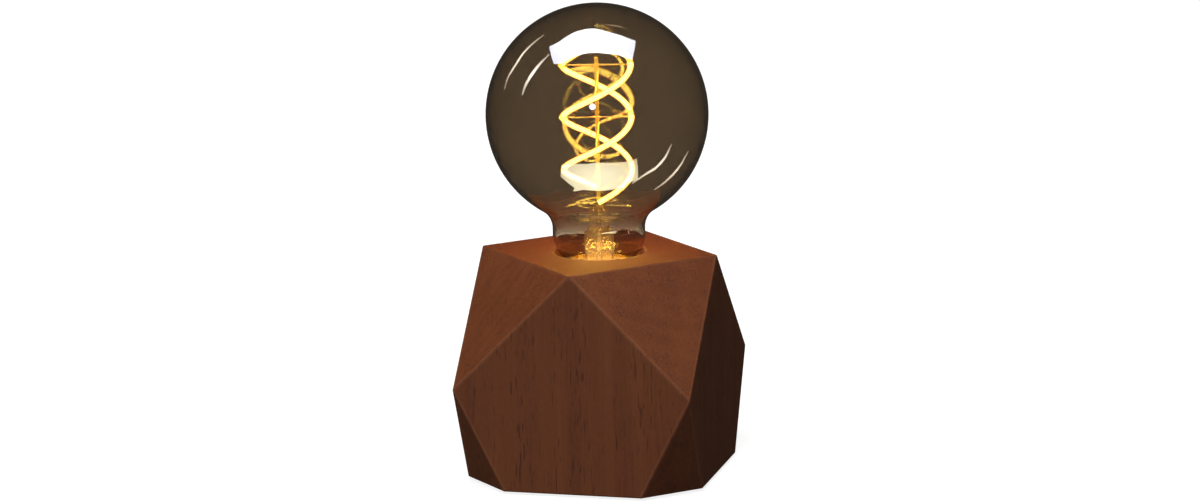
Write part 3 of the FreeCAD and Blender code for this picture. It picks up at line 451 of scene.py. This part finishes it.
def make_walnut():
    material, tree = new_finish("walnut_stain")
    place = object_place(tree)
    drift = put(tree, "ShaderNodeTexNoise", {"Vector": stretched(tree, place, (14, 14, 5)), "Scale": 1.0,
                                             "Detail": 1.0})
    shift = put(tree, "ShaderNodeVectorMath", {0: drift.outputs["Color"], 1: (6 * MM, 6 * MM, 0.0)},
                operation="MULTIPLY")
    grain_place = put(tree, "ShaderNodeVectorMath", {0: place, 1: shift.outputs[0]}, operation="ADD").outputs[0]

    pith = put(tree, "ShaderNodeMapping", {"Vector": grain_place, "Location": (0.09, -0.17, 0),
                                           "Scale": (1, 1, 0.04)})
    rings = put(tree, "ShaderNodeTexWave", {"Vector": pith.outputs[0], "Scale": 62.0, "Distortion": 1.2,
                                            "Detail": 2.0, "Detail Scale": 3.0},
                wave_type="RINGS", rings_direction="Z")
    fibres = noise(tree, grain_place, (900, 900, 16), 3, 0.6)
    wide = noise(tree, grain_place, (110, 110, 4), 2)
    clouds = noise(tree, place, 26, 3)
    pores = span(tree, noise(tree, grain_place, (1500, 1500, 105), 1), 0.60, 0.70)
    pore_rows = span(tree, noise(tree, grain_place, (150, 150, 6), 2), 0.26, 0.58)
    pores = sums(tree, "MULTIPLY", pores, pore_rows)
    specks = span(tree, noise(tree, place, (1500, 1500, 500), 2), 0.3, 0.75)

    late_wood = span(tree, rings.outputs["Fac"], 0.2, 0.95, 0.0, 0.28)
    tone = mixed(tree, late_wood, colour(.112, .032, .0110), colour(.150, .044, .0160))
    tone = mixed(tree, span(tree, fibres, 0.35, 0.7, 0.0, 0.5), tone, colour(.078, .023, .0095))
    tone = mixed(tree, span(tree, wide, 0.4, 0.7, 0.0, 0.35), tone, colour(.160, .048, .017))
    tone = mixed(tree, span(tree, clouds, 0.45, 0.75, 0.0, 0.22), tone, colour(.074, .021, .009))
    tone = mixed(tree, sums(tree, "MULTIPLY", specks, 0.16), tone, colour(.185, .062, .025))
    tone = mixed(tree, sums(tree, "MULTIPLY", pores, 0.72), tone, colour(.030, .010, .006))
    # Paler edges and hole rim: partly rubbed stain, partly a painted highlight where the edges catch light.
    ragged = sums(tree, "MULTIPLY_ADD", noise(tree, place, 420, 2), 0.5 * MM, 0.15 * MM)
    inner = sums(tree, "ADD", ragged, 0.7 * MM)
    worn_and_painted_highlight = sums(tree, "SUBTRACT", 1.0, span(tree, edge_distance(tree, place), ragged, inner))
    tone = mixed(tree, sums(tree, "MULTIPLY", worn_and_painted_highlight, 0.17), tone, colour(.26, .105, .05))

    height = put(tree, "ShaderNodeSeparateXYZ", {0: place}).outputs[2]
    # The top face is darker: partly end grain that takes more stain, partly painted shade over the lit top.
    end_grain_and_painted_shade = span(tree, height, BLOCK_TOP - 0.9 * MM, BLOCK_TOP - 0.2 * MM, 0.0, 0.46)
    tone = mixed(tree, end_grain_and_painted_shade, tone, colour(.060, .0170, .0055))

    gloss = sums(tree, "MULTIPLY_ADD", fibres, 0.12, 0.40)
    surface = sums(tree, "SUBTRACT", sums(tree, "MULTIPLY", fibres, 0.25), pores)
    principled(tree, Base_Color=tone, Roughness=gloss, Specular_IOR_Level=0.22,
               Normal=relief(tree, surface, 0.07 * MM, 0.7))
    return material


dress(make_walnut(), "wood_block")

# %% [markdown]
# ## Glass
# The globe is blown glass with a smoky amber coat. A wall of real thickness bends light, mirrors
# the room on each of its faces, and goes darker towards the rim, so the CAD solid with its
# inside wall is kept and gets a transmission shader. Each wall tints the light once, in front and
# behind. A very weak relief stands for the waviness of blown glass. The stem, the exhaust tube and
# the rod are clear glass. The stem and the tube glow faintly and the rod glows amber: a painted
# glow for the filament's light caught in the glass, as none of them is a lamp.

# %% Glass
def make_glass(name, thin, thick, waves, index=1.45, clear=None, painted_glow=0.0, painted_glow_tone=(1.0, 0.62, 0.06)):
    """Glass with a tint that varies a little, that may fade to a clearer one in the neck, and that may carry a
    painted glow.
    """
    material, tree = new_finish(name)
    place = object_place(tree)
    tint = mixed(tree, noise(tree, place, 22, 2), colour(*thin), colour(*thick))
    if clear:
        height = put(tree, "ShaderNodeSeparateXYZ", {0: place}).outputs[2]
        tint = mixed(tree, span(tree, height, 98 * MM, 111 * MM), colour(*clear), tint)
    ripple = noise(tree, place, 38, 1)
    principled(tree, Base_Color=tint, Roughness=0.0, IOR=index, Transmission_Weight=1.0,
               Emission_Color=colour(*painted_glow_tone), Emission_Strength=painted_glow, Normal=relief(tree, ripple, waves))
    return material


dress(make_glass("smoked_amber_glass", (0.342, 0.274, 0.197), (0.308, 0.246, 0.177), 0.008 * MM, 2.1,
                 clear=(0.98, 0.84, 0.66)), "glass_envelope")
# Painted glow: the stem, tube and rod emit a little, for the filament's light caught in them.
dress(make_glass("clear_stem_glass", (0.99, 0.97, 0.92), (0.97, 0.93, 0.86), 0.05 * MM, 1.6, painted_glow=0.10,
                 painted_glow_tone=(1.0, 0.58, 0.20)), "glass_stem", "exhaust_tube")
dress(make_glass("amber_rod_glass", (0.98, 0.86, 0.58), (0.95, 0.80, 0.48), 0.02 * MM, 1.5, painted_glow=0.9), "glass_rod")
for name in GLASS_NODES:
    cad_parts[name].visible_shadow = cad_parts[name].visible_diffuse = False

# %% [markdown]
# ## Metals
# Pressed brass, a gold-coloured cap, zinc-plated steel, nickel wire and soft solder differ in
# colour and in how they were made. Turned or drawn metal has fine rings round its axis, pressed
# sheet has faint clouds, and plated screws have a soft grain. One maker gives them all, with the
# rings' direction, the fineness of the grain and the gloss as its settings.

# %% Metals
def make_metal(name, bright, dull, gloss, grain=(500, 500, 2600), depth=0.01 * MM, tarnish=0.35):
    material, tree = new_finish(name)
    place = object_place(tree)
    lines = noise(tree, place, grain, 2)
    clouds = span(tree, noise(tree, place, 160, 3), 0.4, 0.75, 0.0, tarnish)
    spots = span(tree, noise(tree, place, 900, 1), 0.68, 0.8, 0.0, tarnish)
    tone = mixed(tree, sums(tree, "MAXIMUM", clouds, spots), colour(*bright), colour(*dull))
    drawn = sums(tree, "MULTIPLY_ADD", lines, 0.16, gloss - 0.08)
    rough = sums(tree, "ADD", drawn, sums(tree, "MULTIPLY", clouds, 0.25))
    principled(tree, Base_Color=tone, Metallic=1.0, Roughness=rough, Normal=relief(tree, lines, depth))
    return material


dress(make_metal("pressed_brass", (0.80, 0.58, 0.24), (0.50, 0.33, 0.12), 0.26),
      "screw_shell", "shell_rivets", "side_strip", "centre_strip", "terminal_blocks", "centre_contact")
dress(make_metal("gold_cap", (0.95, 0.70, 0.30), (0.72, 0.48, 0.18), 0.22), "cap_shell")
dress(make_metal("zinc_plate", (0.66, 0.67, 0.68), (0.42, 0.42, 0.44), 0.30, (900, 900, 900)),
      "cover_screws", "threaded_nipple", "nipple_washer", "nipple_nut", "terminal_screws", "retaining_clip",
      "contact_spring")
dress(make_metal("nickel_wire", (0.75, 0.68, 0.58), (0.50, 0.43, 0.36), 0.24, (2500, 2500, 300)),
      "lead_wires", "filament_pins", "top_support_wire", "middle_support_wire", "driver_leads")
dress(make_metal("solder", (0.66, 0.66, 0.65), (0.36, 0.36, 0.37), 0.38, (1200, 1200, 1200), 0.05 * MM, 0.6),
      "cap_contact")

# %% [markdown]
# ## Plastics, rubber, ceramic and the rest
# Moulded plastic has a fine even spark texture, rubber a duller and coarser one. The insert is
# white steatite, a ceramic with tiny specks and a thin glaze. The insulator round the cap's
# contact is black glass that was poured, so it is glossy with slow swirls. The cement that holds
# the glass is sandy.

# %% Moulded and fired finishes
def make_moulded(name, body, patches, gloss, grain_per_metre, depth, coat=0.0, coat_gloss=0.1, **more):
    material, tree = new_finish(name)
    place = object_place(tree)
    grain = noise(tree, place, grain_per_metre, 2)
    clouds = noise(tree, place, grain_per_metre / 12, 3)
    tone = mixed(tree, span(tree, clouds, 0.35, 0.7), colour(*body), colour(*patches))
    principled(tree, Base_Color=tone, Roughness=sums(tree, "MULTIPLY_ADD", grain, 0.16, gloss - 0.08),
               Coat_Weight=coat, Coat_Roughness=coat_gloss, Normal=relief(tree, grain, depth), **more)
    return material


dress(make_moulded("black_moulding", (0.018, 0.018, 0.019), (0.026, 0.026, 0.027), 0.46, 2600, 0.03 * MM),
      "cable_inlet", "holder_cap", "holder_skirt", "pocket_cover")
dress(make_moulded("black_rubber", (0.014, 0.014, 0.014), (0.028, 0.027, 0.026), 0.78, 1500, 0.06 * MM),
      "rubber_feet")
dress(make_moulded("steatite", (0.80, 0.78, 0.72), (0.70, 0.67, 0.60), 0.42, 1800, 0.03 * MM, 0.35, 0.2),
      "ceramic_insert")
dress(make_moulded("poured_black_glass", (0.006, 0.006, 0.010), (0.016, 0.014, 0.020), 0.12, 320, 0.04 * MM,
                   0.5, 0.03), "cap_insulator")
dress(make_moulded("cap_cement", (0.52, 0.46, 0.36), (0.40, 0.34, 0.26), 0.9, 2400, 0.12 * MM), "cap_cement")
dress(make_moulded("component_cases", (0.020, 0.022, 0.028), (0.045, 0.042, 0.040), 0.30, 1400, 0.02 * MM),
      "driver_components")


def make_circuit_board():
    """White solder mask over copper tracks, which a brick pattern lays out as right-angled lanes."""
    material, tree = new_finish("driver_circuit_board")
    place = object_place(tree)
    lanes = put(tree, "ShaderNodeTexBrick", {"Vector": stretched(tree, place, (330, 330, 330)), "Scale": 1.0,
                                             "Mortar Size": 0.09, "Mortar Smooth": 0.1, "Brick Width": 1.3,
                                             "Row Height": 0.6})
    fleck = noise(tree, place, 1500, 2)
    mask = mixed(tree, fleck, colour(.74, .74, .68), colour(.66, .67, .61))
    tone = mixed(tree, lanes.outputs["Fac"], mask, colour(.46, .40, .24))
    principled(tree, Base_Color=tone, Roughness=0.38, Normal=relief(tree, lanes.outputs["Fac"], 0.04 * MM))
    return material


dress(make_circuit_board(), "driver_board")

# %% [markdown]
# ## The filament
# The light comes from one long strand: a flexible string of tiny LED chips in silicone, laid as two
# coils that meet in a bow at the top. On the real lamp the chips shine through the amber silicone,
# so the strand has a bright core and a softer, more orange skin. Geometry Nodes sweeps a circle
# along the line twice, once thin for the core and once at full width for the skin.

# %% Filament path
FILAMENT_START = math.radians(-75.4)
COIL_RADIUS, COIL_FOOT, COIL_RISE, COIL_TURNS = 14.6 * MM, 120.2 * MM, 45.4 * MM, 1.25
FOLD_FOOT = COIL_FOOT + COIL_RISE * COIL_TURNS
FOLD_CLIMB, FOLD_HEIGHT = 11.35 * MM, 13.4 * MM


def coil_point(turns, radius=COIL_RADIUS):
    angle = FILAMENT_START + math.tau * turns
    return Vector((radius * math.cos(angle), radius * math.sin(angle), COIL_FOOT + COIL_RISE * turns))


def fold_point(share):
    """Point on the bow at the top, from the coil at share 0 to the middle at share 1."""
    arch = math.sin(share * math.pi / 2) ** 2
    climb = FOLD_CLIMB * (share - (share - arch) * share ** 2) + (FOLD_HEIGHT - FOLD_CLIMB) * arch
    point = coil_point(COIL_TURNS + share / 4, COIL_RADIUS * math.cos(share * math.pi / 2))
    return Vector((point.x, point.y, FOLD_FOOT + climb))


def filament_points():
    rise = [coil_point(COIL_TURNS * i / 120) for i in range(120)]
    rise += [fold_point(i / 24) for i in range(25)]
    fall = [Vector((-p.x, -p.y, p.z)) for p in reversed(rise[:-1])]
    return rise + fall


# %% Geometry Nodes helpers
def line_object(name, points):
    """A polyline made of edges, which is what the node trees below take as their path."""
    mesh = bpy.data.meshes.new(name)
    mesh.from_pydata([tuple(p) for p in points], [(i, i + 1) for i in range(len(points) - 1)], [])
    obj = bpy.data.objects.new(name, mesh)
    collection.objects.link(obj)
    return obj


def new_tree(name, inputs):
    """A Geometry Nodes tree with a geometry socket and named inputs, given as (name, kind)."""
    tree = bpy.data.node_groups.new(name, "GeometryNodeTree")
    tree.interface.new_socket("Geometry", in_out="INPUT", socket_type="NodeSocketGeometry")
    for label, kind in inputs:
        tree.interface.new_socket(label, in_out="INPUT", socket_type="NodeSocket" + kind)
    tree.interface.new_socket("Geometry", in_out="OUTPUT", socket_type="NodeSocketGeometry")
    return tree, tree.nodes.new("NodeGroupInput").outputs


def end_tree(tree, geometry, material):
    real = put(tree, "GeometryNodeRealizeInstances", {0: geometry})
    done = put(tree, "GeometryNodeSetMaterial", {"Geometry": real.outputs[0], "Material": material})
    tree.links.new(done.outputs[0], put(tree, "NodeGroupOutput").inputs[0])


def grown(obj, tree, settings, name):
    """Runs a tree on an object and returns its result as a plain mesh object of that name."""
    modifier = obj.modifiers.new(tree.name, "NODES")
    modifier.node_group = tree
    for item in tree.interface.items_tree:
        if item.in_out == "INPUT" and item.name in settings:
            modifier[item.identifier] = settings[item.name]
    bpy.context.view_layer.update()
    mesh = bpy.data.meshes.new_from_object(obj.evaluated_get(bpy.context.evaluated_depsgraph_get()))
    mesh.name = name
    bpy.data.objects.remove(obj)
    result = bpy.data.objects.new(name, mesh)
    collection.objects.link(result)
    print(name, "has", len(mesh.polygons), "faces")
    return result


def swept_tree():
    """A round section swept along a path, with capped ends."""
    tree, given = new_tree("round_sweep", [("Radius", "Float"), ("Sides", "Int"), ("Material", "Material")])
    path = put(tree, "GeometryNodeMeshToCurve", {0: given["Geometry"]})
    section = put(tree, "GeometryNodeCurvePrimitiveCircle", {"Resolution": given["Sides"], "Radius": given["Radius"]})
    tube = put(tree, "GeometryNodeCurveToMesh", {"Curve": path.outputs[0], "Profile Curve": section.outputs[0],
                                                 "Fill Caps": True})
    smooth = put(tree, "GeometryNodeSetShadeSmooth", {"Geometry": tube.outputs[0], "Shade Smooth": True})
    end_tree(tree, smooth.outputs[0], given["Material"])
    return tree


sweep = swept_tree()


# %% Filament
def make_glow(name, tone, strength, base):
    """Light through silicone, also used for the sleeves' painted glow. The emission is plain, and only the unlit
    colour underneath varies.
    """
    material, tree = new_finish(name)
    chips = noise(tree, object_place(tree), 520, 1)
    principled(tree, Base_Color=mixed(tree, chips, colour(*base), colour(*(0.6 * c for c in base))), Roughness=0.4,
               Emission_Color=colour(*tone), Emission_Strength=strength)
    return material


def make_silicone():
    """Amber silicone: a translucent skin that lets the core through and glows orange itself."""
    material, tree = new_finish("amber_silicone")
    cloud = noise(tree, object_place(tree), 420, 2)
    skin = put(tree, "ShaderNodeBsdfPrincipled", {
        "Base Color": mixed(tree, cloud, colour(0.9, 0.32, 0.03), colour(0.75, 0.24, 0.02)), "Roughness": 0.35,
        "Emission Color": colour(1.0, 0.42, 0.05), "Emission Strength": 7.0})
    clear = put(tree, "ShaderNodeBsdfTransparent", {"Color": colour(1.0, 0.96, 0.86)})
    end_in(tree, put(tree, "ShaderNodeMixShader", {0: 0.6, 1: skin.outputs[0], 2: clear.outputs[0]}).outputs[0])
    return material


def strand(name, radius, sides, finish):
    piece = grown(line_object(name + "_path", filament_points()), sweep,
                  {"Radius": radius, "Sides": sides, "Material": finish}, name)
    piece.visible_diffuse = piece.visible_shadow = False
    piece.light_linking.receiver_collection = all_but_wood
    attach(piece, "bulb")
    return piece


core = strand("filament_core", 0.92 * MM, 12, make_glow("filament_glow", (1.0, 0.95, 0.20), 220, (0.9, 0.7, 0.2)))
skin = strand("filament_skin", 1.3 * MM, 20, make_silicone())
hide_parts("led_filament")

# %% [markdown]
# The strand is made of short lengths of chips on a carrier, joined under thin sleeves. They show as
# fine dark rings at a regular step, with a faint amber painted glow for the chips' light on them.
# A node tree lays them out: it divides the path into equal lengths, and sets a short tube on each
# point, turned to the path's direction.

# %% Sleeves on the filament
def sleeve_tree():
    tree, given = new_tree("sleeves_on_path", [("Radius", "Float"), ("Length", "Float"), ("Count", "Int"),
                                              ("Material", "Material")])
    path = put(tree, "GeometryNodeMeshToCurve", {0: given["Geometry"]})
    spots = put(tree, "GeometryNodeCurveToPoints", {"Curve": path.outputs[0], "Count": given["Count"]}, mode="COUNT")
    section = put(tree, "GeometryNodeCurvePrimitiveCircle", {"Resolution": 20, "Radius": given["Radius"]})
    reach = put(tree, "ShaderNodeCombineXYZ", {"Z": given["Length"]})
    core_line = put(tree, "GeometryNodeCurvePrimitiveLine", {"End": reach.outputs[0]})
    tube = put(tree, "GeometryNodeCurveToMesh", {"Curve": core_line.outputs[0], "Profile Curve": section.outputs[0],
                                                 "Fill Caps": True})
    smooth = put(tree, "GeometryNodeSetShadeSmooth", {"Geometry": tube.outputs[0], "Shade Smooth": True})
    row = put(tree, "GeometryNodeInstanceOnPoints", {"Points": spots.outputs["Points"], "Instance": smooth.outputs[0],
                                                     "Rotation": spots.outputs["Rotation"]})
    end_tree(tree, row.outputs[0], given["Material"])
    return tree


# The sleeves carry a faint painted glow: emission for the chips' light on them, as a sleeve is no lamp.
sleeves = grown(line_object("sleeve_path", filament_points()[4:-4]), sleeve_tree(),
                {"Radius": 1.38 * MM, "Length": 0.35 * MM, "Count": 13,
                 "Material": make_glow("sleeve_painted_glow", (1.0, 0.50, 0.06), 1.6, (0.55, 0.22, 0.03))},
                "filament_sleeves")
sleeves.visible_diffuse = sleeves.visible_shadow = False
sleeves.light_linking.receiver_collection = all_but_wood
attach(sleeves, "bulb")

# %% [markdown]
# ## Rubber feet
# Four soft moulded feet keep the block off the table. Each is a low disc with a rounded edge and a
# shallow dish underneath, so that only a ring of it touches. One foot is turned in mesh code, and a
# node tree sets copies of it on the corners of a ring.

# %% Rubber feet
def turned_mesh(name, outline, sides=48):
    """A closed shape turned round Z, from the (radius, height) points of its outline."""
    shape = bmesh.new()
    rows = []
    for radius, height in outline:
        if radius == 0:
            rows.append([shape.verts.new((0, 0, height))] * sides)
        else:
            rows.append([shape.verts.new((radius * math.cos(math.tau * i / sides),
                                          radius * math.sin(math.tau * i / sides), height)) for i in range(sides)])
    for low, high in zip(rows, rows[1:]):
        for i in range(sides):
            j = (i + 1) % sides
            shape.faces.new(list(dict.fromkeys((low[i], low[j], high[j], high[i]))))
    bmesh.ops.recalc_face_normals(shape, faces=shape.faces)
    mesh = bpy.data.meshes.new(name)
    shape.to_mesh(mesh)
    shape.free()
    mesh.shade_smooth()
    obj = bpy.data.objects.new(name, mesh)
    collection.objects.link(obj)
    return obj


def ring_of_copies_tree():
    tree, given = new_tree("ring_of_copies", [("Count", "Int"), ("Ring Radius", "Float"), ("Turn", "Float"),
                                             ("Material", "Material")])
    ring = put(tree, "GeometryNodeMeshCircle", {"Vertices": given["Count"], "Radius": given["Ring Radius"]})
    turn = put(tree, "ShaderNodeCombineXYZ", {"Z": given["Turn"]})
    placed = put(tree, "GeometryNodeTransform", {"Geometry": ring.outputs[0], "Rotation": turn.outputs[0]})
    copies = put(tree, "GeometryNodeInstanceOnPoints", {"Points": placed.outputs[0], "Instance": given["Geometry"]})
    end_tree(tree, copies.outputs[0], given["Material"])
    return tree


foot_outline = [(0, 0.35), (1.8, 0.35), (2.3, 0.28), (2.7, 0.05), (2.9, 0.0), (4.2, 0.0), (4.6, 0.06), (4.88, 0.22),
                (4.98, 0.45), (5.0, 0.6), (5.0, 1.16), (4.96, 1.2), (0, 1.2)]
feet = grown(turned_mesh("one_foot", [(radius * MM, height * MM) for radius, height in foot_outline]),
             ring_of_copies_tree(), {"Count": 4, "Ring Radius": 45.35 * MM, "Turn": math.radians(45),
                                     "Material": bpy.data.materials["black_rubber"]}, "moulded_feet")
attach(feet, "base")
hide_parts("rubber_feet")

# %% [markdown]
# ## Contact spring
# Under the bulb's tip a small coil of steel wire holds the centre contact up. It is one wire swept
# along a helix. It stands on the ceramic and shortens when the contact is pressed; here it fills
# the CAD spring's height, from its foot to its top.

# %% Contact spring
spring_low, spring_high = (Vector(corner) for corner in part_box("contact_spring"))
SPRING_WIRE, SPRING_TURNS, CONTACT_TRAVEL, SPRING_SEAT = 0.25 * MM, 4, 0.8 * MM, 57.2 * MM
wind_radius = (spring_high.x - spring_low.x) / 2 - SPRING_WIRE
helix_low, helix_high = spring_low.z + SPRING_WIRE, spring_high.z - SPRING_WIRE
STEPS_PER_TURN = 32
helix = []
for step in range(STEPS_PER_TURN * SPRING_TURNS + 1):
    angle = math.tau * step / STEPS_PER_TURN
    climb = (helix_high - helix_low) * step / (STEPS_PER_TURN * SPRING_TURNS)
    helix.append(Vector((wind_radius * math.cos(angle), wind_radius * math.sin(angle), helix_low + climb)))
spring = grown(line_object("spring_path", helix), sweep,
               {"Radius": SPRING_WIRE, "Sides": 12, "Material": bpy.data.materials["zinc_plate"]},
               "wound_contact_spring")
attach(spring, "base")
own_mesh(spring)
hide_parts("contact_spring")

# %% [markdown]
# ### Light from the filament
# The strand itself is hidden from the wood, because so small and bright a source gives noise. One
# soft lamp in the middle of the globe throws its orange light on the block instead.

# %% Filament's light
inner_glow = bpy.data.objects.new("filament_light", bpy.data.lights.new("filament_light", "POINT"))
inner_glow.data.shadow_soft_size = 12 * MM
inner_glow.data.energy = 0.21
inner_glow.data.color = (1.0, 0.28, 0.04)
inner_glow.location = (0, 0, 155 * MM)
inner_glow.visible_transmission = False
inner_glow.light_linking.receiver_collection = all_but_glass
collection.objects.link(inner_glow)
